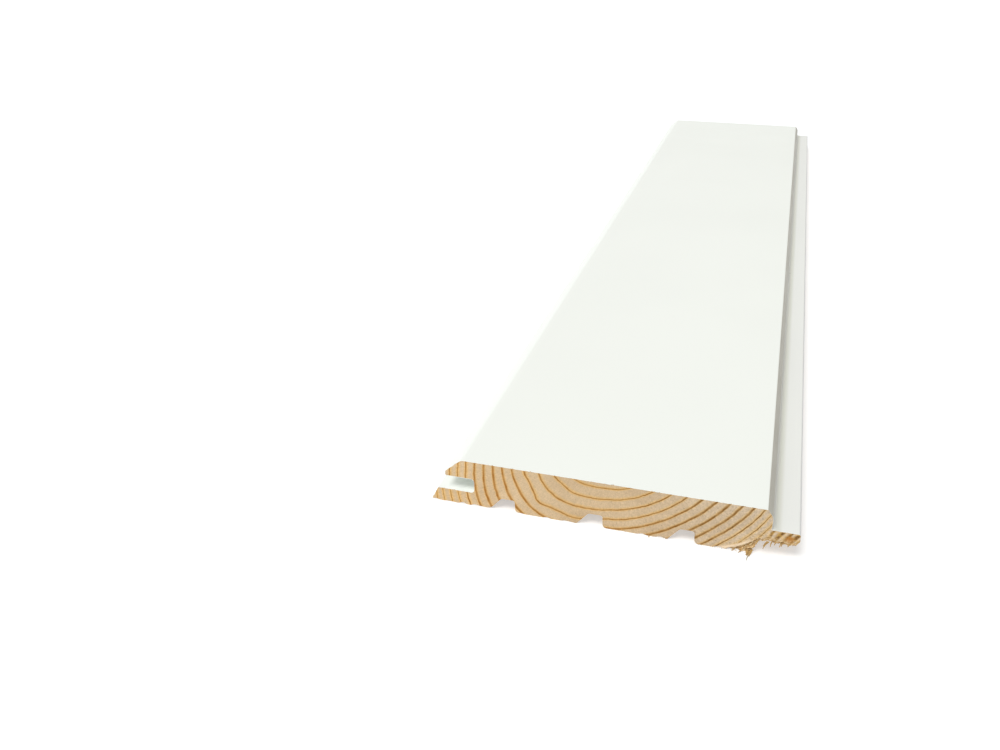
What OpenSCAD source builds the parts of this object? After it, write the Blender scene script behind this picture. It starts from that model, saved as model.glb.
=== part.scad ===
// Tongue and groove panel board, one planed and painted softwood board.
// It lies face up: the groove is on the -X edge, the tongue on the +X edge,
// the grain runs along Y, and the origin is in the middle of the back.

/* [Board] */
// Length along the grain, between the two sawn ends
board_len = 475; // [200:5:3000]
// Thickness from the back to the painted face
board_t = 14; // [13:0.5:21]
// Width that one board covers, from the end of the face lip to the shoulder
cover_w = 87; // [50:1:180]

/* [Tongue] */
// How far the tongue stands out from the shoulder
tongue_len = 7.1; // [5:0.1:9]
// Thickness of the tongue
tongue_t = 3.7; // [3:0.1:4]
// Depth of the tongue's upper side below the face
tongue_drop = 5.8; // [5.6:0.1:6.4]
// Radius of the upper corner of the tongue's tip
tongue_top_r = 0.6; // [0.2:0.1:1.2]
// Radius of the lower corner of the tongue's tip
tongue_low_r = 1.7; // [0.5:0.1:2]

/* [Groove] */
// Play of the neighbour's tongue in the groove, above it and below it
groove_play = 0.3; // [0.1:0.05:0.5]
// Gap between the neighbour's tongue and the bottom of the groove
groove_tip_gap = 1.2; // [0.4:0.1:2]
// Radius of the two inner corners of the groove
groove_r = 0.9; // [0.2:0.1:1.4]

/* [Lower lip] */
// How far the lower lip reaches past the face lip, along the back
lip_reach = 4.2; // [3:0.1:6]
// How far the end of the lower lip falls back towards its upper edge
lip_slant = 2; // [0.5:0.1:2.4]
// Gap at the back between the lower lip and the board beside it
lip_gap = 0.1; // [0.1:0.1:2]
// How far the wall under the tongue leans out towards the tongue
wall_slant = 1.6; // [0.5:0.1:1.9]

/* [Face edges] */
// Width of the chamfer on the groove side of the face
chamfer_w = 4.6; // [3:0.1:6]
// Depth of the chamfer below the face
chamfer_h = 4.1; // [3:0.1:4.3]
// Radius where the face turns down into the chamfer
chamfer_r = 2; // [0.5:0.1:3]
// Width of the steep bevel above the tongue
bevel_w = 1.5; // [0.5:0.1:3]
// Depth of the bevel below the face
bevel_h = 2.2; // [1:0.1:4]
// Radius where the bevel turns down into the shoulder
bevel_foot_r = 1.5; // [0.4:0.1:2]

/* [Relief grooves] */
// Distance from one relief groove to the next
relief_pitch = 24.2; // [16:0.2:40]
// Distance from the tip of the lower lip to the first relief groove
relief_start = 17.2; // [15:0.2:18]
// Least width of back left between the last relief groove and the wall
relief_land = 10; // [4:0.5:13]
// Depth of a relief groove
relief_depth = 3.8; // [2:0.1:5]
// Width of the flat bottom of a relief groove
relief_flat_w = 3.8; // [2:0.1:5]
// Width of the sloping side of a relief groove
relief_slope_w = 3.1; // [2:0.1:4]
// Width of the steep side of a relief groove
relief_steep_w = 0.2; // [0.1:0.1:0.6]
// Radius between the sloping side and the bottom of a relief groove
relief_slope_r = 1.2; // [0.4:0.1:1.6]
// Radius between the steep side and the bottom of a relief groove
relief_steep_r = 0.6; // [0.2:0.1:0.8]
// Radius of the arris where the sloping side meets the back
relief_foot_r = 0.9; // [0.2:0.1:1.5]
// Radius of the arris where the steep side meets the back
relief_arris_r = 1.2; // [0.2:0.1:1.8]

/* [Hidden] */
// Radius that planing and paint leave on every other arris
arris_r = 0.3;
// Largest turn from one facet of a rounding to the next, in degrees
facet_turn = 11;
// Places across the width, from the tip of the lower lip
shoulder_x = lip_reach + cover_w;
tongue_tip_x = shoulder_x + tongue_len;
groove_end_x = lip_reach + tongue_len + groove_tip_gap;
wall_foot_x = shoulder_x - lip_reach - lip_gap;
wall_top_x = wall_foot_x + wall_slant;
// Width of a relief groove at the back, and how many of them the back has room for
relief_w = relief_slope_w + relief_flat_w + relief_steep_w;
relief_room = wall_foot_x - relief_land - relief_w - relief_start;
relief_count = max(0, floor(relief_room / relief_pitch) + 1);
// Heights above the back
tongue_top_z = board_t - tongue_drop;
tongue_low_z = tongue_top_z - tongue_t;
groove_top_z = tongue_top_z + groove_play;
groove_low_z = tongue_low_z - groove_play;

// Corners are [across, height, radius], listed anticlockwise
function place(corner) = [corner.x, corner.y];

function unit(v) = v / norm(v);

// Points of the arc that rounds the middle one of three corners
function rounding(before, corner, after) =
    let (to_before = unit(place(before) - place(corner)))
    let (to_after = unit(place(after) - place(corner)))
    let (half = acos(to_before * to_after) / 2)
    let (centre = place(corner) + unit(to_before + to_after) * corner.z / sin(half))
    let (left_turn = cross(to_after, to_before) > 0)
    let (spoke = left_turn ? [-to_before.y, to_before.x] : [to_before.y, -to_before.x])
    let (first = atan2(spoke.y, spoke.x))
    let (sweep = (left_turn ? 1 : -1) * (180 - 2 * half))
    let (steps = ceil(abs(sweep) / facet_turn))
    [for (i = [0:steps])
        let (turn = first + sweep * i / steps)
        centre + corner.z * [cos(turn), sin(turn)]];

function rounded(corners) =
    let (count = len(corners))
    [for (i = [0:count - 1])
        each rounding(corners[(i + count - 1) % count], corners[i], corners[(i + 1) % count])];

// One relief groove: the slope, the flat bottom and the steep side
function relief_corners(x) = [
    [x, 0, relief_foot_r],
    [x + relief_slope_w, relief_depth, relief_slope_r],
    [x + relief_w - relief_steep_w, relief_depth, relief_steep_r],
    [x + relief_w, 0, relief_arris_r]
];

// The back, from the tip of the lower lip to the wall under the tongue
back_corners = [
    [0, 0, arris_r],
    for (i = [0:1:relief_count - 1]) each relief_corners(relief_start + i * relief_pitch),
    [wall_foot_x, 0, arris_r]
];

// The wall, the tongue and the shoulder, up to the bevel at the edge of the face
tongue_corners = [
    [wall_top_x, tongue_low_z, arris_r],
    [tongue_tip_x, tongue_low_z, tongue_low_r],
    [tongue_tip_x, tongue_top_z, tongue_top_r],
    [shoulder_x, tongue_top_z, arris_r],
    [shoulder_x, board_t - bevel_h, bevel_foot_r],
    [shoulder_x - bevel_w, board_t, arris_r]
];

// The chamfer, the face lip, the groove and the lower lip
groove_corners = [
    [lip_reach + chamfer_w, board_t, chamfer_r],
    [lip_reach, board_t - chamfer_h, arris_r],
    [lip_reach, groove_top_z, arris_r],
    [groove_end_x, groove_top_z, groove_r],
    [groove_end_x, groove_low_z, groove_r],
    [lip_slant, groove_low_z, arris_r]
];

// The section of the board, the same from one sawn end to the other
outline = rounded(concat(back_corners, tongue_corners, groove_corners));
outline_mid_x = (min([for (p = outline) p.x]) + max([for (p = outline) p.x])) / 2;

module board() {
    color("ivory")
        translate([-outline_mid_x, board_len / 2, 0])
            rotate([90, 0, 0])
                linear_extrude(board_len)
                    polygon(outline);
}

board();
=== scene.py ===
import math

import bmesh
import bpy
from mathutils import Euler, Matrix, Vector, noise
from mathutils.geometry import delaunay_2d_cdt


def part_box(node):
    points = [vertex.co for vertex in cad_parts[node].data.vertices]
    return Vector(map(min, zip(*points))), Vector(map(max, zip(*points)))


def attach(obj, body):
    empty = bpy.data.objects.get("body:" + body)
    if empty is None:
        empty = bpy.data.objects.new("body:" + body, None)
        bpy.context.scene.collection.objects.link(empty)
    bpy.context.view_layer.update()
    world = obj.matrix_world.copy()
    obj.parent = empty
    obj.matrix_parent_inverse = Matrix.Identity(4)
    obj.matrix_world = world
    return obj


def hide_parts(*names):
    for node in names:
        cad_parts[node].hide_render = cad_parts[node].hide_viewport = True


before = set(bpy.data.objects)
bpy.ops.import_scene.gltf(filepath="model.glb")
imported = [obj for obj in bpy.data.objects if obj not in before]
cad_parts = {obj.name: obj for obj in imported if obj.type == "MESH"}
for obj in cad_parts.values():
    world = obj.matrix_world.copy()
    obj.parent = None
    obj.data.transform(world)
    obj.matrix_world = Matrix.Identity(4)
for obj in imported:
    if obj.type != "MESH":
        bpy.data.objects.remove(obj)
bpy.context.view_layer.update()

# Camera
# It stands a forearm's length in front of the sawn end, a little right of the middle,
# and looks down along the board.
MM = 0.001
low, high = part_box("board")
camera_from_end = Vector((31.5, -200.7, 147.0)) * MM
camera_heading = math.radians(16.83)
camera_pitch = math.radians(26.7)
camera_roll = math.radians(-0.12)

camera_data = bpy.data.cameras.new("camera")
camera_data.sensor_width = 36.0
camera_data.lens = 33.2
camera_data.clip_start = 0.01
camera = bpy.data.objects.new("camera", camera_data)
camera.matrix_world = (
    Matrix.Translation(Vector((0.0, low.y, 0.0)) + camera_from_end)
    @ Euler((0.0, 0.0, camera_heading)).to_matrix().to_4x4()
    @ Euler((math.pi / 2 - camera_pitch, 0.0, 0.0)).to_matrix().to_4x4()
    @ Euler((0.0, 0.0, camera_roll)).to_matrix().to_4x4()
)
bpy.context.scene.collection.objects.link(camera)
bpy.context.scene.camera = camera
bpy.context.scene.view_settings.view_transform = "Standard"


# Studio
# A wide pale light table, faintly lit from below, under a large soft light from the upper
# left front. The room is bright all round and dimmer only on the right, so that the two
# edges of the face read apart.
table_reach = 6.0
table_corners = ((-1, -1), (1, -1), (1, 1), (-1, 1))
table_white = (0.73, 0.715, 0.70, 1.0)
glow_colour = (0.84, 0.93, 1.0, 1.0)
glow_strength = 0.44
key_from = Vector((-0.15, -0.47, 0.87))
key_strength = 1.89
key_spread = math.radians(26.0)
# The room dims as a ray turns towards this side, between these two shares of it
dim_side = (0.97, 0.0, 0.24)
dim_band = (-0.1, 0.38)
room_bright = (0.73, 0.73, 0.73, 1.0)
room_dim = (0.405, 0.395, 0.38, 1.0)
backdrop = (1.0, 1.0, 0.99, 1.0)


def add(tree, kind, values=None, **settings):
    """Adds a node, sets its settings, and fills or links its inputs by name or number."""
    made = tree.nodes.new(kind)
    for key, value in settings.items():
        setattr(made, key, value)
    for key, value in (values or {}).items():
        if isinstance(value, bpy.types.NodeSocket):
            tree.links.new(value, made.inputs[key])
        else:
            made.inputs[key].default_value = value
    return made


def blended(tree, amount, first, second, mode="MIX"):
    """Mixes two colours."""
    values = {0: amount, 6: first, 7: second}
    return add(tree, "ShaderNodeMix", values, data_type="RGBA", blend_type=mode).outputs[2]


def stepped(tree, value, start, end, first=0.0, last=1.0):
    """A value eased from first at start to last at end."""
    made = add(
        tree, "ShaderNodeMapRange",
        {"Value": value, "From Min": start, "From Max": end, "To Min": first, "To Max": last},
        interpolation_type="SMOOTHSTEP",
    )
    return made.outputs["Result"]


def blank_material(name):
    """A new material with no node in it, and its tree."""
    material = bpy.data.materials.new(name)
    material.use_nodes = True
    material.node_tree.nodes.clear()
    return material, material.node_tree


def pale_table():
    """The table's pale matt top, with a little light coming through it."""
    material, tree = blank_material("pale_table")
    shader = add(
        tree, "ShaderNodeBsdfPrincipled",
        {"Base Color": table_white, "Roughness": 0.9, "Specular IOR Level": 0.1,
         "Emission Color": glow_colour, "Emission Strength": glow_strength},
    )
    add(tree, "ShaderNodeOutputMaterial", {"Surface": shader.outputs["BSDF"]})
    return material


table_mesh = bpy.data.meshes.new("table")
table_mesh.from_pydata(
    [(across * table_reach, along * table_reach, low.z) for across, along in table_corners],
    [],
    [(0, 1, 2, 3)],
)
table_mesh.materials.append(pale_table())
table = bpy.data.objects.new("table", table_mesh)
bpy.context.scene.collection.objects.link(table)

key_data = bpy.data.lights.new("soft_key", "SUN")
key_data.energy = key_strength
key_data.angle = key_spread
key = bpy.data.objects.new("soft_key", key_data)
key.rotation_euler = key_from.to_track_quat("Z", "Y").to_euler()
bpy.context.scene.collection.objects.link(key)

room = bpy.data.worlds.new("room")
bpy.context.scene.world = room
room.use_nodes = True
room_tree = room.node_tree
room_tree.nodes.clear()
ray = add(room_tree, "ShaderNodeTexCoord").outputs["Generated"]
to_right = add(room_tree, "ShaderNodeVectorMath", {0: ray, 1: dim_side}, operation="DOT_PRODUCT")
dim = stepped(room_tree, to_right.outputs["Value"], *dim_band)
seen = add(room_tree, "ShaderNodeLightPath").outputs["Is Camera Ray"]
room_colour = blended(room_tree, seen, blended(room_tree, dim, room_bright, room_dim), backdrop)
room_shader = add(room_tree, "ShaderNodeBackground", {"Color": room_colour})
add(room_tree, "ShaderNodeOutputWorld", {"Surface": room_shader.outputs["Background"]})

# Board
# One stick of planed softwood with its tongue, groove, chamfer and relief grooves cut in
# one pass. It is sprayed satin white over the face and both edges, then sawn to length,
# so that both ends and the back are bare wood.
paint_film = 0.07 * MM
# The longest stretch of the outline, the spacing of points on the end and on its torn corner,
# the number of sections along the board, and how near two points are merged
outline_step = 0.6 * MM
end_grid = 0.5 * MM
torn_grid = 0.22 * MM
station_count = 81
merge_reach = 2e-6
# Bands across the board where a look sets in or ends, from the face's arris to the tongue's tip
bevel_band = (40.2 * MM, 40.5 * MM)
shoulder_band = (41.7 * MM, 42.1 * MM)
# The corner by the shoulder is darkened partly by dust and partly by painted shade
dust_and_shade_start = (42.1 * MM, 43.0 * MM)
dust_and_shade_end = (43.3 * MM, 44.8 * MM)
dust_end = (43.0 * MM, 45.0 * MM)
# The tongue's rounded tip is darkened by painted shade
tip_band = (48.5 * MM, 48.9 * MM)
# On the sawn end: where the tongue's darker wood starts, its height, and the spot of resin
tongue_band = (40.0 * MM, 42.5 * MM)
tongue_top_band = (7.8 * MM, 8.6 * MM)
resin_at = Vector((46.6, 6.1)) * MM
# The torn corner: where its pale ridge starts and ends across, how high it climbs, half its
# width, how deep the tear goes, and how far along the board
torn_from = 30.2 * MM
torn_to = 38.5 * MM
torn_rise = 4.6 * MM
ridge_half = 0.36 * MM
torn_depth = 0.9 * MM
torn_reach = 5.0 * MM
wall_top = 39.3 * MM
tongue_low = 4.5 * MM
# Growth rings, in millimetres: the pith's place, the radius and spacing at ring nought, how
# much each spacing loses to the one before it, and the least spacing
pith_x = 1.15
pith_z = 25.62
first_radius = 12.45
first_spacing = 3.35
spacing_loss = 0.12
least_spacing = 0.3
# How much wider than round the rings are left and right of the pith, how far they droop there
# for each millimetre across, and the distance over which the droop sets in
wide_left = 1.069
wide_right = 1.166
droop_left = 0.419
droop_right = -0.18
droop_from = 2.17
# Where the rings kink: across and up, how far the kink reaches, and how far it moves them, in mm
kinks = (
    ((-18.2, 5.0), 3.6, -0.75),
    ((-7.5, 1.0), 6.0, -0.6),
    ((-12.4, 11.0), 4.5, 0.35),
    ((-21.4, 10.6), 3.0, 0.3),
    ((-25.0, 14.0), 6.5, -0.6),
    ((-2.0, 7.0), 6.0, -0.3),
    ((43.0, 7.4), 1.8, 0.35),
    ((45.4, 5.0), 1.8, -0.45),
    ((47.6, 7.2), 1.6, 0.3),
)


def end_outline(node):
    """The near end's outline as (across, up), anticlockwise from the tip of the tongue."""
    cut = bmesh.new()
    cut.from_mesh(node.data)
    bmesh.ops.remove_doubles(cut, verts=cut.verts, dist=1e-6)
    cut.normal_update()
    cut.verts.index_update()
    neighbours = {}
    for edge in cut.edges:
        at_end = all(abs(vert.co.y - low.y) < 1e-5 for vert in edge.verts)
        if at_end and sum(face.normal.y < -0.99 for face in edge.link_faces) == 1:
            first, second = edge.verts
            neighbours.setdefault(first.index, []).append(second.index)
            neighbours.setdefault(second.index, []).append(first.index)
    places = {vert.index: Vector((vert.co.x, vert.co.z)) for vert in cut.verts}
    cut.free()
    start = max(neighbours, key=lambda i: (round(places[i].x, 6), -places[i].y))
    ring = [start, max(neighbours[start], key=lambda i: places[i].y)]
    while True:
        ahead = [i for i in neighbours[ring[-1]] if i != ring[-2]][0]
        if ahead == start:
            break
        ring.append(ahead)
    return [places[i] for i in ring]


def finer(points, step):
    """The same closed outline with no stretch longer than a step."""
    result = []
    for here, there in zip(points, points[1:] + points[:1]):
        pieces = max(1, math.ceil((there - here).length / step))
        result += [here.lerp(there, i / pieces) for i in range(pieces)]
    return result


def inset(points, distance):
    """The closed outline moved inwards."""
    result = []
    for before, here, after in zip(points[-1:] + points[:-1], points, points[1:] + points[:1]):
        along = ((here - before).normalized() + (after - here).normalized()).normalized()
        result.append(here + distance * Vector((-along.y, along.x)))
    return result


def paint_reaches(points):
    """How far inside the painted stretch each point lies, and less than zero on the bare back."""
    run = [0.0]
    for here, there in zip(points, points[1:]):
        run.append(run[-1] + (there - here).length)
    whole = run[-1] + (points[0] - points[-1]).length
    lip_tip = min(range(len(points)), key=lambda i: points[i].x)
    painted = run[lip_tip]
    result = []
    for i, place in enumerate(run):
        if i <= lip_tip:
            result.append(min(place, painted - place))
        else:
            result.append(-min(place - painted, whole - place))
    return result


def inside(point, polygon):
    """Whether a point lies inside a closed outline."""
    hit = False
    for a, b in zip(polygon, polygon[1:] + polygon[:1]):
        if (a.y > point.y) != (b.y > point.y):
            if point.x < a.x + (point.y - a.y) / (b.y - a.y) * (b.x - a.x):
                hit = not hit
    return hit


def scattered(polygon, corner_low, corner_high, step):
    """Points in a jittered grid over a box, kept where they lie inside the polygon."""
    result = []
    for row in range(int((corner_high.y - corner_low.y) / step)):
        for column in range(int((corner_high.x - corner_low.x) / step)):
            jog = noise.cell_vector(Vector((column + 0.5, row + 0.5, step * 1e5)))
            cell = Vector((column + 0.5 + 0.3 * jog.x, row + 0.5 + 0.3 * jog.y))
            place = cell * step + corner_low
            if inside(place, polygon):
                result.append(place)
    return result


def sawn_end(points, reaches):
    """The near end: a narrow rim for the film's cut edge, and a field of triangles inside it."""
    count = len(points)
    rim = inset(points, paint_film)
    core = inset(points, paint_film + 0.5 * torn_grid)
    torn_left = torn_from - 2 * MM
    torn_top = 6.5 * MM
    field = scattered(core, Vector((low.x, low.z)), Vector((high.x, high.z)), end_grid)
    field = [p for p in field if p.x < torn_left or p.y > torn_top]
    field += scattered(core, Vector((torn_left, low.z)), Vector((high.x, torn_top)), torn_grid)
    edges = [(i, (i + 1) % count) for i in range(count)]
    edges += [(count + i, count + (i + 1) % count) for i in range(count)]
    _, _, faces, origins, _, _ = delaunay_2d_cdt(points + rim + field, edges, [], 1, 1e-9)
    triangles = [tuple(origins[i][0] for i in face) for face in faces]
    mesh = bpy.data.meshes.new("sawn_end")
    mesh.from_pydata([(p.x, low.y, p.y) for p in points + rim + field], [], triangles)
    reach = mesh.attributes.new("paint_reach", "FLOAT", "POINT")
    reach.data.foreach_set("value", reaches + reaches + [-1.0] * len(field))
    film = mesh.attributes.new("film", "BOOLEAN", "FACE")
    for item, triangle in zip(film.data, triangles):
        on_rim = max(triangle) < 2 * count
        item.value = on_rim and min(reaches[i % count] for i in triangle) > 0.0
    return mesh


def shared_effect(name, inputs, outputs):
    """An empty shader group with named float or vector sockets, and its two end nodes."""
    group = bpy.data.node_groups.new(name, "ShaderNodeTree")
    for way, sockets in (("INPUT", inputs), ("OUTPUT", outputs)):
        for label, kind in sockets.items():
            group.interface.new_socket(label, in_out=way, socket_type="NodeSocket" + kind)
    return group, add(group, "NodeGroupInput").outputs, add(group, "NodeGroupOutput").inputs


def sums(tree):
    """A short way to write arithmetic in a tree."""
    def m(operation, *values):
        return add(tree, "ShaderNodeMath", dict(enumerate(values)), operation=operation).outputs[0]
    return m


def parts_of(tree, vector):
    """The X, Y and Z of a place, or the red, green and blue of a colour."""
    return add(tree, "ShaderNodeSeparateXYZ", {0: vector}).outputs


def stretched(tree, place, factors):
    """The same place with each axis scaled, so that noise runs long where a factor is small."""
    made = add(tree, "ShaderNodeVectorMath", {0: place, 1: factors}, operation="MULTIPLY")
    return made.outputs["Vector"]


def distance_to(tree, place, goal):
    """How far a place is from a goal."""
    made = add(tree, "ShaderNodeVectorMath", {0: place, 1: goal}, operation="DISTANCE")
    return made.outputs["Value"]


def cloud(tree, place, scale, detail=2.0, roughness=0.5, factors=(1.0, 1.0, 1.0)):
    """Noise from 0 to 1 about a half."""
    made = add(
        tree, "ShaderNodeTexNoise",
        {"Vector": stretched(tree, place, factors), "Scale": scale, "Detail": detail,
         "Roughness": roughness},
    )
    return made.outputs["Fac"]


def toned(tree, colour, tone):
    """A colour made lighter or darker by a factor."""
    made = add(tree, "ShaderNodeVectorMath", {0: colour, "Scale": tone}, operation="SCALE")
    return made.outputs["Vector"]


def attribute(tree, name):
    """A number that the mesh carries from point to point."""
    return add(tree, "ShaderNodeAttribute", attribute_name=name).outputs["Fac"]


def growth_rings():
    """Rings about a pith above the face, cut in any direction. It works in millimetres."""
    group, given, result = shared_effect(
        "growth_rings", {"Place": "Vector"},
        {"Latewood": "Float", "Fringe": "Float", "Turn": "Float", "Radius": "Float"},
    )
    m = sums(group)
    in_mm = stretched(group, given["Place"], (1000.0, 1000.0, 1000.0))
    slow = stretched(group, in_mm, (1.0, 0.025, 1.0))
    broad = add(group, "ShaderNodeTexNoise", {"Vector": slow, "Scale": 0.11, "Detail": 1.0})
    bend = parts_of(group, broad.outputs["Color"])
    place = parts_of(group, in_mm)

    # The pith wanders a little along the board
    from_end = m("SUBTRACT", place["Y"], low.y / MM)
    drift = m("MULTIPLY", m("SINE", m("DIVIDE", from_end, 95.0)), 1.3)
    swing = m("MULTIPLY", m("SINE", m("DIVIDE", from_end, 140.0)), 0.8)
    sink = m("SUBTRACT", swing, m("MULTIPLY", from_end, 0.006))
    bend_x = m("MULTIPLY", m("SUBTRACT", bend["X"], 0.5), 0.6)
    bend_z = m("MULTIPLY", m("SUBTRACT", bend["Z"], 0.5), 0.6)
    across = m("ADD", m("ADD", m("SUBTRACT", place["X"], pith_x), drift), bend_x)
    deep = m("ADD", m("ADD", m("SUBTRACT", pith_z, place["Z"]), sink), bend_z)

    # The rings are wider than round, droop on the left, and climb towards the tongue
    on_right = m("GREATER_THAN", across, 0.0)
    stretch = m("ADD", m("MULTIPLY", on_right, wide_right - wide_left), wide_left)
    lean = m("ADD", m("MULTIPLY", on_right, droop_right - droop_left), droop_left)
    size = m("ABSOLUTE", across)
    set_in = m("DIVIDE", m("MULTIPLY", size, size), m("ADD", size, droop_from))
    droop = m("MULTIPLY", lean, set_in)
    dip = stepped(group, across, -9.0, 0.0, 0.0, 0.5)
    climb = stepped(group, across, 33.0, 49.0, 0.0, 1.6)
    tip_climb = stepped(group, across, 38.0, 43.0, 0.0, 0.7)
    deep_bent = m("ADD", m("SUBTRACT", deep, m("ADD", droop, dip)), m("ADD", climb, tip_climb))
    run = m("DIVIDE", across, stretch)
    radius = m("SQRT", m("ADD", m("MULTIPLY", run, run), m("MULTIPLY", deep_bent, deep_bent)))
    ruffle = cloud(group, slow, 0.55, 3.0, 0.55)
    radius = m("ADD", radius, m("MULTIPLY", m("SUBTRACT", ruffle, 0.5), 0.4))
    flat = add(group, "ShaderNodeCombineXYZ", {"X": place["X"], "Z": place["Z"]}).outputs[0]
    for (at_x, at_z), reach, amount in kinks:
        away = distance_to(group, flat, (at_x, 0.0, at_z))
        radius = m("ADD", radius, stepped(group, away, 0.0, reach, amount, 0.0))

    # Which ring is nearest, and how far past its line the place lies
    grown_by = m("SUBTRACT", radius, first_radius)
    under = m("SUBTRACT", first_spacing ** 2, m("MULTIPLY", 2 * spacing_loss, grown_by))
    spacing_there = m("SQRT", m("MAXIMUM", under, least_spacing ** 2))
    ring = m("DIVIDE", m("SUBTRACT", first_spacing, spacing_there), spacing_loss)
    nearest = m("ROUND", ring)
    spacing = m("SUBTRACT", first_spacing, m("MULTIPLY", ring, spacing_loss))
    past = m("MULTIPLY", m("SUBTRACT", ring, nearest), spacing)

    # Each year's dark line sets in slowly and ends sharply, inside a wide golden fringe
    white = add(group, "ShaderNodeTexWhiteNoise", {"W": nearest}, noise_dimensions="1D")
    from_third = stepped(group, nearest, 3.0, 4.0)
    strong = m("MULTIPLY", from_third, stepped(group, nearest, 7.0, 10.0, 1.0, 0.0))
    weak = stepped(group, nearest, 8.0, 10.0, 0.20, 0.13)
    year = m("MULTIPLY", white.outputs["Value"], 0.06)
    thick = m("ADD", year, m("ADD", m("MULTIPLY", strong, 0.15), weak))
    patchy = stepped(group, cloud(group, slow, 0.35, 2.0), 0.3, 0.7, 0.72, 1.0)
    setting_in = stepped(group, past, m("MULTIPLY", thick, -1.5), m("MULTIPLY", thick, -0.1))
    ending = stepped(group, past, m("MULTIPLY", thick, 0.35), thick, 1.0, 0.0)
    wide_in = stepped(group, past, -1.05, -0.1)
    wide_end = stepped(group, past, 0.15, 0.7, 1.0, 0.0)
    group.links.new(m("MULTIPLY", m("MULTIPLY", setting_in, ending), patchy), result["Latewood"])
    group.links.new(m("MULTIPLY", wide_in, wide_end), result["Fringe"])
    group.links.new(m("ARCTAN2", across, deep_bent), result["Turn"])
    group.links.new(radius, result["Radius"])
    return group


def sprayed_film():
    """White paint: its colour, its faint orange peel over the grain, and its broken edge."""
    group, given, result = shared_effect(
        "sprayed_film", {"Place": "Vector", "Reach": "Float"},
        {"Colour": "Color", "Roughness": "Float", "Height": "Float", "Cover": "Float"},
    )
    white_paint = (0.857, 0.884, 0.836)
    m = sums(group)
    place = given["Place"]
    shade = stepped(group, cloud(group, place, 14.0, 2.0), 0.3, 0.7, 0.985, 1.0)
    sheen = stepped(group, cloud(group, place, 60.0, 2.0), 0.3, 0.7, 0.36, 0.44)
    peel = cloud(group, place, 1300.0, 1.0)
    grain = cloud(group, place, 900.0, 3.0, 0.6, (1.0, 0.02, 1.0))
    height = m("ADD", m("MULTIPLY", peel, 0.5), grain)
    ragged = cloud(group, place, 700.0, 3.0, 0.6, (1.0, 0.25, 1.0))
    edge = m("ADD", given["Reach"], m("MULTIPLY", m("SUBTRACT", ragged, 0.5), 4.0 * MM))
    group.links.new(toned(group, white_paint, shade), result["Colour"])
    group.links.new(sheen, result["Roughness"])
    group.links.new(height, result["Height"])
    group.links.new(stepped(group, edge, -0.3 * MM, 0.2 * MM), result["Cover"])
    return group


rings_group = growth_rings()
film_group = sprayed_film()


def wood_place(tree):
    """The place on the board, and the growth rings there."""
    place = add(tree, "ShaderNodeTexCoord").outputs["Object"]
    rings = add(tree, "ShaderNodeGroup", {"Place": place}, node_tree=rings_group)
    return place, rings.outputs


def finished(tree, colour, roughness, height, distance, specular):
    """Ends a material in its shader and a bump of the given height."""
    bump = add(tree, "ShaderNodeBump", {"Height": height, "Distance": distance, "Strength": 1.0})
    shader = add(
        tree, "ShaderNodeBsdfPrincipled",
        {"Base Color": colour, "Roughness": roughness, "Normal": bump.outputs["Normal"],
         "Specular IOR Level": specular},
    )
    add(tree, "ShaderNodeOutputMaterial", {"Surface": shader.outputs["BSDF"]})


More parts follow.
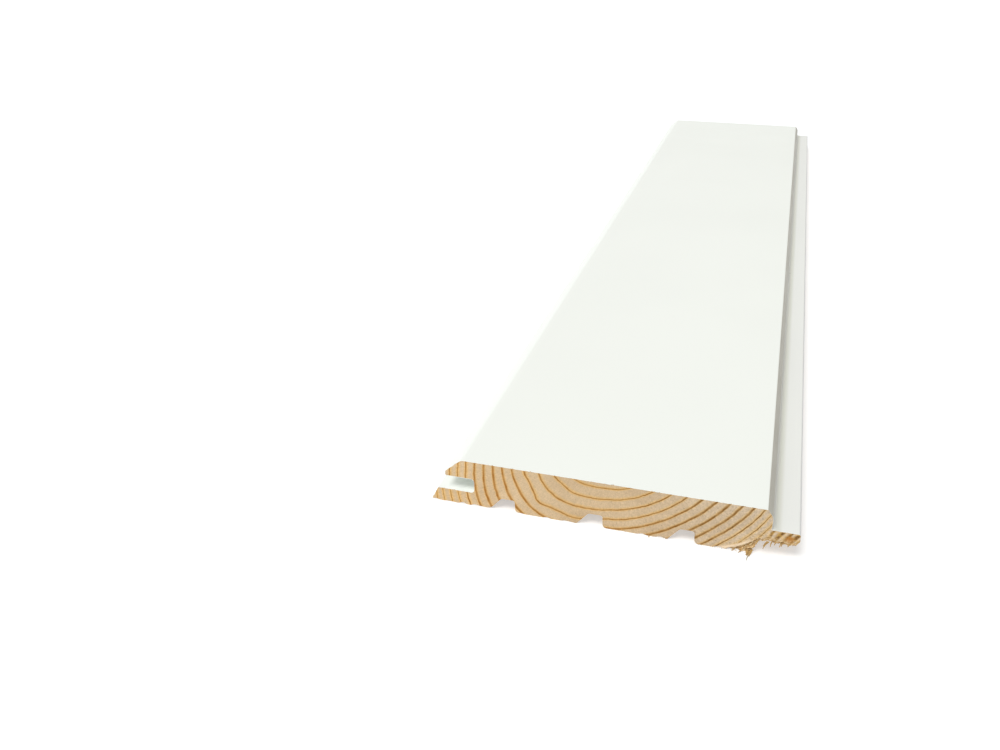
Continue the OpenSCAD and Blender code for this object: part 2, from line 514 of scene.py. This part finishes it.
def satin_white_paint():
    """The painted face and edges, with painted shade on the bevel, the tongue and its tip, dust
    and painted shade by the shoulder, and chips along the sawn arris.
    """
    # Colours of painted shade on the bevel and the tongue, of dust and painted shade by the
    # shoulder, of painted shade on the tip, then of dust specks and chips
    bevel_shade_near = (0.52, 0.485, 0.435, 1.0)
    bevel_shade_far = (0.60, 0.572, 0.53, 1.0)
    tongue_shade_tint = (0.955, 0.94, 0.955, 1.0)
    dust_and_shade_tint = (0.855, 0.85, 0.80, 1.0)
    tip_shade_tint = (0.80, 0.80, 0.82, 1.0)
    dust_grey = (0.22, 0.22, 0.18, 1.0)
    bare_chip = (0.60, 0.44, 0.27, 1.0)
    material, tree = blank_material("satin_white_paint")
    m = sums(tree)
    place = add(tree, "ShaderNodeTexCoord").outputs["Object"]
    spot = parts_of(tree, place)
    film = add(tree, "ShaderNodeGroup", {"Place": place, "Reach": 1.0}, node_tree=film_group)

    # Painted shade: the bevel, which faces away from the light, is darkened, more so towards the
    # near end, and the tongue is darkened a little
    past_arris = stepped(tree, spot["X"], *bevel_band)
    past_shoulder = stepped(tree, spot["X"], *shoulder_band)
    bevel_and_tongue_shade = blended(tree, stepped(tree, spot["Y"], low.y, 0.0), bevel_shade_near, bevel_shade_far)
    bevel_and_tongue_shade = blended(tree, past_shoulder, bevel_and_tongue_shade, tongue_shade_tint)
    colour = blended(tree, past_arris, film.outputs["Colour"], bevel_and_tongue_shade, "MULTIPLY")
    # A warm darkening on the tongue by the foot of the shoulder: partly dust, partly painted shade
    # in the corner
    dust_and_shade_sets_in = stepped(tree, spot["X"], *dust_and_shade_start)
    dust_and_shade = m("MULTIPLY", dust_and_shade_sets_in, stepped(tree, spot["X"], *dust_and_shade_end, 1.0, 0.0))
    colour = blended(tree, dust_and_shade, colour, dust_and_shade_tint, "MULTIPLY")
    # Painted shade on the tongue's rounded tip, which faces away from the light
    tip_shade = stepped(tree, spot["X"], *tip_band)
    colour = blended(tree, tip_shade, colour, tip_shade_tint, "MULTIPLY")

    # Specks of dust lie along the foot of the shoulder
    flat_place = stretched(tree, place, (1.0, 0.6, 0.0))
    dust = add(tree, "ShaderNodeTexVoronoi", {"Vector": flat_place, "Scale": 210.0})
    chosen = m("GREATER_THAN", parts_of(tree, dust.outputs["Color"])[0], 0.6)
    speck = stepped(tree, dust.outputs["Distance"], 0.03, 0.07, 0.5, 0.0)
    by_shoulder = stepped(tree, spot["X"], *dust_end, 1.0, 0.0)
    speck = m("MULTIPLY", m("MULTIPLY", speck, chosen), by_shoulder)
    colour = blended(tree, m("MULTIPLY", speck, past_shoulder), colour, dust_grey)

    # The saw chipped the film along both ends
    to_end = m("SUBTRACT", high.y, m("ABSOLUTE", spot["Y"]))
    flake = cloud(tree, place, 900.0, 3.0, 0.65)
    chip = m("LESS_THAN", to_end, stepped(tree, flake, 0.60, 0.78, 0.0, 0.4 * MM))
    colour = blended(tree, chip, colour, bare_chip)
    height = m("SUBTRACT", film.outputs["Height"], m("MULTIPLY", chip, 6.0))
    finished(tree, colour, film.outputs["Roughness"], height, 0.012 * MM, 0.2)
    return material


def sawn_end_grain():
    """The sawn ends: growth rings, rays, pores, saw marks, and splintered wood where it tore."""
    early_dark = (0.529, 0.381, 0.226, 1)
    early_pale = (0.590, 0.437, 0.267, 1)
    fringe_gold = (0.62, 0.395, 0.150, 1)
    halo_gold = (0.70, 0.44, 0.150, 1)
    line_left = (0.305, 0.120, 0.013, 1)
    line_right = (0.21, 0.084, 0.009, 1)
    line_tongue = (0.175, 0.074, 0.013, 1)
    tongue_gold = (0.70, 0.40, 0.09, 1)
    resin_brown = (0.43, 0.155, 0.015, 1)
    dull_tint = (1.0, 1.07, 1.24, 1)
    shred_dark = (0.24, 0.115, 0.03, 1)
    shred_brown = (0.53, 0.33, 0.13, 1)
    shred_pale = (0.84, 0.68, 0.43, 1)
    splinter_pale = (0.80, 0.64, 0.45, 1)
    material, tree = blank_material("sawn_end_grain")
    m = sums(tree)
    place, rings = wood_place(tree)
    spot = parts_of(tree, place)
    on_right = stepped(tree, spot["X"], -10.0 * MM, 35.0 * MM)
    under_face = stepped(tree, spot["Z"], *tongue_top_band, 1.0, 0.0)
    on_tongue = m("MULTIPLY", stepped(tree, spot["X"], *tongue_band), under_face)

    # Pale early wood, warmer beside each ring's line
    broad = stepped(tree, cloud(tree, place, 85.0, 3.0, 0.6), 0.32, 0.68)
    colour = blended(tree, broad, early_dark, early_pale)
    colour = blended(tree, m("MULTIPLY", rings["Fringe"], 0.75), colour, fringe_gold)
    halo = m("MULTIPLY", m("POWER", rings["Fringe"], 3.0), 0.5)
    colour = blended(tree, halo, colour, halo_gold)

    # The lines: weaker in the middle, and broad dark bands on the tongue
    from_middle = m("ABSOLUTE", m("ADD", spot["X"], 4.0 * MM))
    off_middle = stepped(tree, from_middle, 0.0, 18.0 * MM, 0.84, 1.0)
    torn_band = m("MULTIPLY", m("POWER", rings["Fringe"], 1.7), on_tongue)
    latewood = m("MAXIMUM", m("MULTIPLY", rings["Latewood"], off_middle), torn_band)
    colour = toned(tree, colour, m("ADD", m("MULTIPLY", on_tongue, 0.06), 1.0))
    line_colour = blended(tree, on_right, line_left, line_right)
    line_colour = blended(tree, on_tongue, line_colour, line_tongue)
    colour = blended(tree, latewood, colour, line_colour)
    gold = m("MULTIPLY", stepped(tree, cloud(tree, place, 1100.0, 2.0), 0.46, 0.60), on_tongue)
    colour = blended(tree, m("MULTIPLY", gold, 0.42), colour, tongue_gold)
    to_resin = distance_to(tree, place, (resin_at.x, low.y, resin_at.y))
    resin = stepped(tree, to_resin, 0.5 * MM, 1.5 * MM, 0.9, 0.0)
    colour = blended(tree, resin, colour, resin_brown)

    # Rays from the pith, a fine and a coarser mottle, and pores
    turn = m("MULTIPLY", rings["Turn"], 90.0)
    outward = m("MULTIPLY", rings["Radius"], 0.25)
    ray_place = add(tree, "ShaderNodeCombineXYZ", {"X": turn, "Y": outward})
    rays = cloud(tree, ray_place.outputs[0], 1.0, 3.0, 0.6)
    colour = toned(tree, colour, stepped(tree, rays, 0.3, 0.7, 0.95, 1.05))
    fine = cloud(tree, place, 3000.0, 3.0, 0.7)
    colour = toned(tree, colour, stepped(tree, fine, 0.3, 0.7, 0.88, 1.08))
    mottle = stepped(tree, cloud(tree, place, 1700.0, 3.0, 0.7), 0.32, 0.68, 0.84, 1.11)
    mottle_amount = m("ADD", m("MULTIPLY", on_right, 0.6), 0.2)
    colour = blended(tree, mottle_amount, colour, toned(tree, colour, mottle))
    pores = add(tree, "ShaderNodeTexVoronoi", {"Vector": place, "Scale": 620.0})
    pore = stepped(tree, pores.outputs["Distance"], 0.05, 0.16, 1.0, 0.0)
    pore_depth = m("ADD", m("MULTIPLY", on_right, 0.2), 0.2)
    colour = toned(tree, colour, m("SUBTRACT", 1.0, m("MULTIPLY", pore, pore_depth)))

    # The wood is duller towards the tongue and brighter by the groove
    dull = stepped(tree, spot["X"], -5.0 * MM, 45.0 * MM)
    colour = blended(tree, dull, colour, dull_tint, "MULTIPLY")
    colour = toned(tree, colour, stepped(tree, spot["X"], -34.0 * MM, -10.0 * MM, 1.10, 1.0))

    # Shreds run along the tear, about 25 degrees up from the back
    along = m("ADD", m("MULTIPLY", spot["X"], 906.0), m("MULTIPLY", spot["Z"], 424.0))
    over = m("SUBTRACT", m("MULTIPLY", spot["Z"], 906.0), m("MULTIPLY", spot["X"], 424.0))
    split = add(tree, "ShaderNodeCombineXYZ", {"X": along, "Y": over})
    shreds = cloud(tree, split.outputs[0], 1.0, 3.0, 0.65, (1.3, 2.3, 1.0))
    ramp = add(tree, "ShaderNodeValToRGB", {"Fac": shreds})
    stops = ramp.color_ramp.elements
    stops[0].position = 0.34
    stops[0].color = shred_dark
    stops[1].position = 0.62
    stops[1].color = shred_pale
    middle = stops.new(0.48)
    middle.color = shred_brown
    torn = attribute(tree, "torn")
    colour = blended(tree, torn, colour, ramp.outputs["Color"])
    splinter = m("MULTIPLY", attribute(tree, "splinter"), 0.85)
    colour = blended(tree, splinter, colour, splinter_pale)

    saw = add(
        tree, "ShaderNodeTexWave",
        {"Vector": place, "Scale": 260.0, "Distortion": 1.5, "Detail": 2.0, "Detail Scale": 0.5},
        bands_direction="DIAGONAL",
    )
    height = m("ADD", m("MULTIPLY", saw.outputs["Fac"], 0.35), m("MULTIPLY", fine, 0.8))
    height = m("ADD", height, m("MULTIPLY", rings["Latewood"], 0.6))
    height = m("ADD", height, m("MULTIPLY", m("MULTIPLY", shreds, torn), 8.0))
    finished(tree, colour, 0.78, height, 0.05 * MM, 0.25)
    return material


def planed_bare_wood():
    """The planed back and relief grooves, with overspray where the paint comes round the edges."""
    early_dark = (0.60, 0.415, 0.235, 1)
    early_pale = (0.68, 0.485, 0.285, 1)
    fringe_gold = (0.60, 0.37, 0.155, 1)
    line_brown = (0.42, 0.215, 0.065, 1)
    material, tree = blank_material("planed_bare_wood")
    m = sums(tree)
    place, rings = wood_place(tree)
    broad = stepped(tree, cloud(tree, place, 30.0, 3.0, 0.6, (1.0, 0.15, 1.0)), 0.3, 0.7)
    colour = blended(tree, broad, early_dark, early_pale)
    colour = blended(tree, m("MULTIPLY", rings["Fringe"], 0.6), colour, fringe_gold)
    colour = blended(tree, m("MULTIPLY", rings["Latewood"], 0.9), colour, line_brown)
    fibres = cloud(tree, place, 2400.0, 4.0, 0.65, (1.0, 0.018, 1.0))
    colour = toned(tree, colour, stepped(tree, fibres, 0.3, 0.7, 0.86, 1.1))
    film = add(
        tree, "ShaderNodeGroup", {"Place": place, "Reach": attribute(tree, "paint_reach")},
        node_tree=film_group,
    )
    colour = blended(tree, film.outputs["Cover"], colour, film.outputs["Colour"])
    planer = add(
        tree, "ShaderNodeTexWave", {"Vector": place, "Scale": 160.0, "Distortion": 0.4},
        bands_direction="Y",
    )
    height = m("ADD", m("MULTIPLY", planer.outputs["Fac"], 0.5), m("MULTIPLY", fibres, 0.9))
    height = m("ADD", height, m("MULTIPLY", rings["Latewood"], 0.5))
    finished(tree, colour, 0.58, height, 0.04 * MM, 0.3)
    return material


def blank_tree(name, **inputs):
    """A geometry tree from mesh to mesh with the named inputs, and the sockets it is given."""
    tree = bpy.data.node_groups.new(name, "GeometryNodeTree")
    tree.interface.new_socket("Geometry", in_out="INPUT", socket_type="NodeSocketGeometry")
    for label, kind in inputs.items():
        tree.interface.new_socket(label, in_out="INPUT", socket_type="NodeSocket" + kind)
    tree.interface.new_socket("Geometry", in_out="OUTPUT", socket_type="NodeSocketGeometry")
    return tree, add(tree, "NodeGroupInput").outputs


def carried(tree, name, kind):
    """What the mesh in a tree carries under a name."""
    made = add(tree, "GeometryNodeInputNamedAttribute", {"Name": name}, data_type=kind)
    return made.outputs[0]


def planed_stick(point_count, painted, bare, sawn):
    """A tree that runs the end's outline along the board and closes it with both ends."""
    tree, given = blank_tree("planed_stick", Length="Float", Stations="Int")
    m = sums(tree)
    grid = add(
        tree, "GeometryNodeMeshGrid",
        {"Size X": 1.0, "Size Y": 2.0, "Vertices X": point_count + 1,
         "Vertices Y": given["Stations"]},
    )

    # Each column of the grid takes its place from one point of the outline
    where = add(tree, "GeometryNodeInputPosition").outputs[0]
    spot = parts_of(tree, where)
    index = m("ROUND", m("MULTIPLY", m("ADD", spot["X"], 0.5), float(point_count)))
    index = m("FLOORED_MODULO", index, float(point_count))
    corner = add(
        tree, "GeometryNodeSampleIndex", {"Geometry": given["Geometry"], "Index": index},
        data_type="FLOAT_VECTOR",
    )
    tree.links.new(where, corner.inputs["Value"])

    # The rows lie closer together towards both ends
    to_end = m("SUBTRACT", 1.0, m("ABSOLUTE", spot["Y"]))
    eased = m("SUBTRACT", 1.0, m("MULTIPLY", to_end, to_end))
    run = m("MULTIPLY", m("ADD", m("MULTIPLY", m("SIGN", spot["Y"]), eased), 1.0), 0.5)
    along = add(tree, "ShaderNodeCombineXYZ", {"Y": m("MULTIPLY", run, given["Length"])})
    spread = add(
        tree, "ShaderNodeVectorMath", {0: corner.outputs["Value"], 1: along.outputs[0]},
        operation="ADD",
    )
    reach_there = carried(tree, "paint_reach", "FLOAT")
    reach = add(
        tree, "GeometryNodeSampleIndex", {"Geometry": given["Geometry"], "Index": index},
        data_type="FLOAT",
    )
    tree.links.new(reach_there, reach.inputs["Value"])
    walls = add(
        tree, "GeometryNodeStoreNamedAttribute",
        {"Geometry": grid.outputs["Mesh"], "Name": "paint_reach", "Value": reach.outputs["Value"]},
        data_type="FLOAT", domain="POINT",
    )
    walls = add(
        tree, "GeometryNodeSetPosition",
        {"Geometry": walls.outputs["Geometry"], "Position": spread.outputs["Vector"]},
    )
    walls = add(tree, "GeometryNodeFlipFaces", {"Mesh": walls.outputs["Geometry"]})
    walls = add(
        tree, "GeometryNodeStoreNamedAttribute",
        {"Geometry": walls.outputs["Mesh"], "Name": "planed", "Value": True},
        data_type="BOOLEAN", domain="FACE",
    )

    # The near end, moved along and turned to face away, closes the far end
    shift = add(tree, "ShaderNodeCombineXYZ", {"Y": given["Length"]})
    far_end = add(
        tree, "GeometryNodeTransform",
        {"Geometry": given["Geometry"], "Translation": shift.outputs[0]},
    )
    far_end = add(tree, "GeometryNodeFlipFaces", {"Mesh": far_end.outputs["Geometry"]})
    whole = add(tree, "GeometryNodeJoinGeometry")
    for piece in (far_end.outputs["Mesh"], given["Geometry"], walls.outputs["Geometry"]):
        tree.links.new(piece, whole.inputs[0])
    merged = add(
        tree, "GeometryNodeMergeByDistance",
        {"Geometry": whole.outputs[0], "Distance": merge_reach},
    )
    shape = add(tree, "GeometryNodeRealizeInstances", {"Geometry": merged.outputs[0]}).outputs[0]

    # Sawn wood, then the planed walls, then the film on the painted stretch and its cut edge
    planed = carried(tree, "planed", "BOOLEAN")
    on_paint = add(
        tree, "FunctionNodeCompare", {"A": reach_there, "B": 0.0},
        data_type="FLOAT", operation="GREATER_THAN",
    )
    sprayed = add(
        tree, "FunctionNodeBooleanMath", {0: planed, 1: on_paint.outputs[0]}, operation="AND"
    )
    coated = add(
        tree, "FunctionNodeBooleanMath",
        {0: carried(tree, "film", "BOOLEAN"), 1: sprayed.outputs[0]}, operation="OR",
    )
    for material, faces in ((sawn, True), (bare, planed), (painted, coated.outputs[0])):
        shape = add(
            tree, "GeometryNodeSetMaterial",
            {"Geometry": shape, "Selection": faces, "Material": material},
        ).outputs[0]
    add(tree, "NodeGroupOutput", {0: shape})
    return tree


def grown(name, base, tree, **values):
    """The plain mesh that a tree grows on a base mesh, with the tree's named inputs filled."""
    seed = bpy.data.objects.new(name + "_seed", base)
    bpy.context.scene.collection.objects.link(seed)
    modifier = seed.modifiers.new(tree.name, "NODES")
    modifier.node_group = tree
    for item in tree.interface.items_tree:
        if item.in_out == "INPUT" and item.name in values:
            modifier[item.identifier] = values[item.name]
    seed.update_tag()
    graph = bpy.context.evaluated_depsgraph_get()
    mesh = bpy.data.meshes.new_from_object(seed.evaluated_get(graph))
    mesh.name = name
    bpy.data.objects.remove(seed)
    return mesh


def smooth_step(value, start, end):
    """Eases from 0 at start to 1 at end."""
    t = min(1.0, max(0.0, (value - start) / (end - start)))
    return t * t * (3 - 2 * t)


def tear(mesh):
    """Leaves the near end's lower edge ragged, and tears out its lower right corner."""
    for name in ("torn", "splinter"):
        mesh.attributes.new(name, "FLOAT", "POINT")
    torn = mesh.attributes["torn"].data
    splinter = mesh.attributes["splinter"].data
    for vertex, mark, pale in zip(mesh.vertices, torn, splinter):
        x, y, z = vertex.co
        in_from_end = y - low.y
        if in_from_end > torn_reach or z > 7.5 * MM:
            continue
        fade = 1.0 - smooth_step(in_from_end, 0.3 * MM, torn_reach)
        # The saw lifted the lowest millimetre here and there
        if z < MM:
            rough = noise.noise(Vector((x / MM * 0.45, in_from_end / MM * 0.1, 5.5)))
            z += 0.8 * max(0.0, rough) * (MM - z) * fade
            vertex.co.z = z
        if x < torn_from - 12 * MM:
            continue
        wave = noise.noise(Vector((x / MM * 0.9, in_from_end / MM * 0.1, 3.7)))
        fine = noise.noise(Vector((x / MM * 2.6, in_from_end / MM * 0.2, 9.1)))
        shred = noise.noise(Vector(((x + 0.5 * z) / MM * 0.8, (z - 0.5 * x) / MM * 2.2, 1.3)))
        ridge = 0.0
        scuff = 0.0
        if x < wall_top:
            # Up to the wall under the tongue: torn below a pale ridge, and scuffed above it
            up_ridge = max(0.0, (x - torn_from) / (torn_to - torn_from))
            depth = 0.85 * (torn_rise * up_ridge ** 1.5 - z)
            half = ridge_half * (1 - smooth_step(up_ridge, 0.5, 1.1)) + 0.02 * MM
            reach = smooth_step(x, torn_from - MM, torn_from + MM)
            amount = smooth_step(depth + 0.3 * MM * shred, 0.0, 0.3 * MM) * reach
            ridge = (1 - smooth_step(abs(depth + half), 0.8 * half, 1.3 * half)) * reach
            scuff = 0.38 * (1 - smooth_step(-depth, 0.4 * MM, 2.6 * MM)) * reach
            bite = max(0.0, 0.3 + wave + 0.7 * fine) * 0.75 * MM
            bite *= smooth_step(x, torn_from, torn_from + 3 * MM)
            lift = bite * (1 - smooth_step(z, 0.0, 2 * MM))
        else:
            # On the tongue: ragged along its lower side
            height = z - tongue_low
            amount = 1 - smooth_step(height + 0.8 * MM * shred, 0.4 * MM, 2.2 * MM)
            amount *= 0.55
            lift = (wave + 1.1 * fine) * 0.55 * MM * (1 - smooth_step(height, 0.0, 1.5 * MM))
        mark.value = max(amount, scuff) * fade
        pale.value = ridge * fade
        vertex.co.z = max(low.z, z + lift * fade)
        hollow = torn_depth * amount * (0.45 + 0.7 * shred) - 0.15 * MM * ridge
        vertex.co.y = y + hollow * max(0.0, 1.0 - in_from_end / (2 * MM))


outline = finer(end_outline(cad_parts["board"]), outline_step)
near_end = sawn_end(outline, paint_reaches(outline))
stick = planed_stick(len(outline), satin_white_paint(), planed_bare_wood(), sawn_end_grain())
board_mesh = grown("board", near_end, stick, Length=high.y - low.y, Stations=station_count)
tear(board_mesh)
board_mesh.shade_smooth()
board_mesh.set_sharp_from_angle(angle=math.radians(32.0))
board = bpy.data.objects.new("painted_board", board_mesh)
bpy.context.scene.collection.objects.link(board)
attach(board, "root")
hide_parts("board")

# Torn fibres
# A few strands of grain that the saw pulled out of the lower edge, and the fine fuzz it left
# along it. Each is a thin bare curl of wood that grows out of the sawn end.
strand_size = 0.4 * MM
fuzz_size = 0.05 * MM
fuzz_count = 170
curl = 0.18
curl_seed = 5
# Root across and up, then how far the strand reaches across, forward and up, in millimetres
strands = (
    ((37.9, 0.6), (-1.05, 3.3, -0.5)),
    ((36.9, 0.8), (-0.4, 1.2, -0.6)),
    ((37.6, 0.9), (-0.2, 1.5, -0.8)),
    ((37.2, 0.5), (-0.5, 1.3, -0.4)),
    ((36.6, 0.6), (0.3, 1.1, -0.5)),
    ((38.0, 1.2), (-0.6, 1.2, -1.1)),
    ((35.3, 0.4), (-0.7, 0.6, -0.3)),
    ((33.6, 0.5), (-0.6, 0.4, -0.3)),
    ((11.6, 0.3), (0.2, 0.8, -0.2)),
    ((39.0, 4.3), (-0.3, 0.6, -0.8)),
    ((41.7, 4.4), (-1.3, 1.4, -1.3)),
    ((41.3, 4.4), (-0.9, 0.9, -0.9)),
    ((42.4, 4.5), (-0.25, 0.5, -1.1)),
    ((44.6, 4.6), (-0.3, 0.5, -0.9)),
    ((44.9, 4.6), (-0.1, 0.4, -0.6)),
    ((46.6, 4.7), (-0.3, 0.4, -0.5)),
    ((43.4, 4.6), (-0.3, 0.4, -0.6)),
)


def straw_fibre():
    """Bare torn wood, golden by the board and straw grey towards the strands' tips."""
    straw_dark = (0.33, 0.30, 0.22, 1.0)
    straw_pale = (0.62, 0.57, 0.45, 1.0)
    golden_dark = (0.24, 0.13, 0.035, 1.0)
    golden_pale = (0.66, 0.44, 0.17, 1.0)
    material, tree = blank_material("straw_fibre")
    place = add(tree, "ShaderNodeTexCoord").outputs["Object"]
    shade = cloud(tree, place, 900.0)
    by_wood = stepped(tree, parts_of(tree, place)["Y"], low.y - 2.3 * MM, low.y - 0.9 * MM)
    straw = blended(tree, shade, straw_dark, straw_pale)
    golden = blended(tree, shade, golden_dark, golden_pale)
    colour = blended(tree, by_wood, straw, golden)
    shader = add(tree, "ShaderNodeBsdfPrincipled", {"Base Color": colour, "Roughness": 0.7})
    add(tree, "ShaderNodeOutputMaterial", {"Surface": shader.outputs["BSDF"]})
    return material


def split_fibres(material):
    """A tree that grows a tapered curl from each point, along and as thick as the point says."""
    tree, given = blank_tree("split_fibres", Curl="Float", Seed="Int")
    m = sums(tree)
    bow = add(tree, "ShaderNodeCombineXYZ", {"X": given["Curl"], "Z": 0.5})
    arc = add(
        tree, "GeometryNodeCurveQuadraticBezier",
        {"Resolution": 7, "Start": (0.0, 0.0, 0.0), "Middle": bow.outputs[0],
         "End": (0.0, 0.0, 1.0)},
    )

    # Each curl is turned about itself at random, then aimed and stretched along its pull
    pull = carried(tree, "pull", "FLOAT_VECTOR")
    spin = add(
        tree, "FunctionNodeRandomValue", {2: 0.0, 3: 2 * math.pi, "Seed": given["Seed"]},
        data_type="FLOAT",
    )
    turn = add(
        tree, "FunctionNodeAxisAngleToRotation",
        {"Axis": (0.0, 0.0, 1.0), "Angle": spin.outputs[1]},
    )
    aim = add(
        tree, "FunctionNodeAlignRotationToVector", {"Rotation": turn.outputs[0], "Vector": pull},
        axis="Z",
    )
    reach = add(tree, "ShaderNodeVectorMath", {0: pull}, operation="LENGTH").outputs["Value"]
    curls = add(
        tree, "GeometryNodeInstanceOnPoints",
        {"Points": given["Geometry"], "Instance": arc.outputs[0], "Rotation": aim.outputs[0],
         "Scale": reach},
    )
    curls = add(tree, "GeometryNodeRealizeInstances", {"Geometry": curls.outputs[0]})

    # It thins to half its thickness at the tip
    gone = add(tree, "GeometryNodeSplineParameter").outputs["Factor"]
    taper = m("SUBTRACT", 1.0, m("MULTIPLY", gone, 0.5))
    width = m("MULTIPLY", carried(tree, "thick", "FLOAT"), taper)
    section = add(tree, "GeometryNodeCurvePrimitiveCircle", {"Resolution": 5, "Radius": 0.5})
    body = add(
        tree, "GeometryNodeCurveToMesh",
        {"Curve": curls.outputs[0], "Profile Curve": section.outputs[0], "Scale": width,
         "Fill Caps": True},
    )
    real = add(tree, "GeometryNodeRealizeInstances", {"Geometry": body.outputs[0]})
    coat = add(
        tree, "GeometryNodeSetMaterial", {"Geometry": real.outputs[0], "Material": material}
    )
    add(tree, "NodeGroupOutput", {0: coat.outputs[0]})
    return tree


def fibre_roots():
    """Where the strands and the fuzz leave the wood, which way they go, and how thick they are."""
    roots = []
    for (across, up), (aside, forward, upward) in strands:
        root = Vector((across * MM, low.y + 0.2 * MM, up * MM))
        roots.append((root, Vector((aside, -forward - 0.2, upward)) * MM, strand_size))
    edge = [p for p in outline if p.x > 12 * MM and p.y < 4.6 * MM]
    for i in range(fuzz_count):
        chance = noise.cell_vector(Vector((i + 0.5, 2.5, 7.5)))
        more = noise.cell_vector(Vector((i + 0.5, 9.5, 4.5)))
        spot = edge[int(abs(chance.x) * 7919) % len(edge)]
        root = Vector((spot.x, low.y + 0.1 * MM, spot.y + 0.25 * MM))
        length = (0.35 + 0.3 * abs(more.z)) * MM
        way = Vector((0.7 * chance.y - 0.3, -0.9, 0.5 * chance.z - 0.5)).normalized()
        roots.append((root, way * length, fuzz_size * (0.7 + 0.5 * abs(more.x))))
    mesh = bpy.data.meshes.new("fibre_roots")
    mesh.from_pydata([root for root, _, _ in roots], [], [])
    pulls = mesh.attributes.new("pull", "FLOAT_VECTOR", "POINT")
    pulls.data.foreach_set("vector", [part for _, pull, _ in roots for part in pull])
    sizes = mesh.attributes.new("thick", "FLOAT", "POINT")
    sizes.data.foreach_set("value", [size for _, _, size in roots])
    return mesh


fibre_tree = split_fibres(straw_fibre())
fibre_mesh = grown("torn_fibres", fibre_roots(), fibre_tree, Curl=curl, Seed=curl_seed)
for vertex in fibre_mesh.vertices:
    vertex.co.z = max(low.z + 0.02 * MM, vertex.co.z)
fibre_mesh.shade_smooth()
fibres = bpy.data.objects.new("torn_fibres", fibre_mesh)
bpy.context.scene.collection.objects.link(fibres)
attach(fibres, "root")
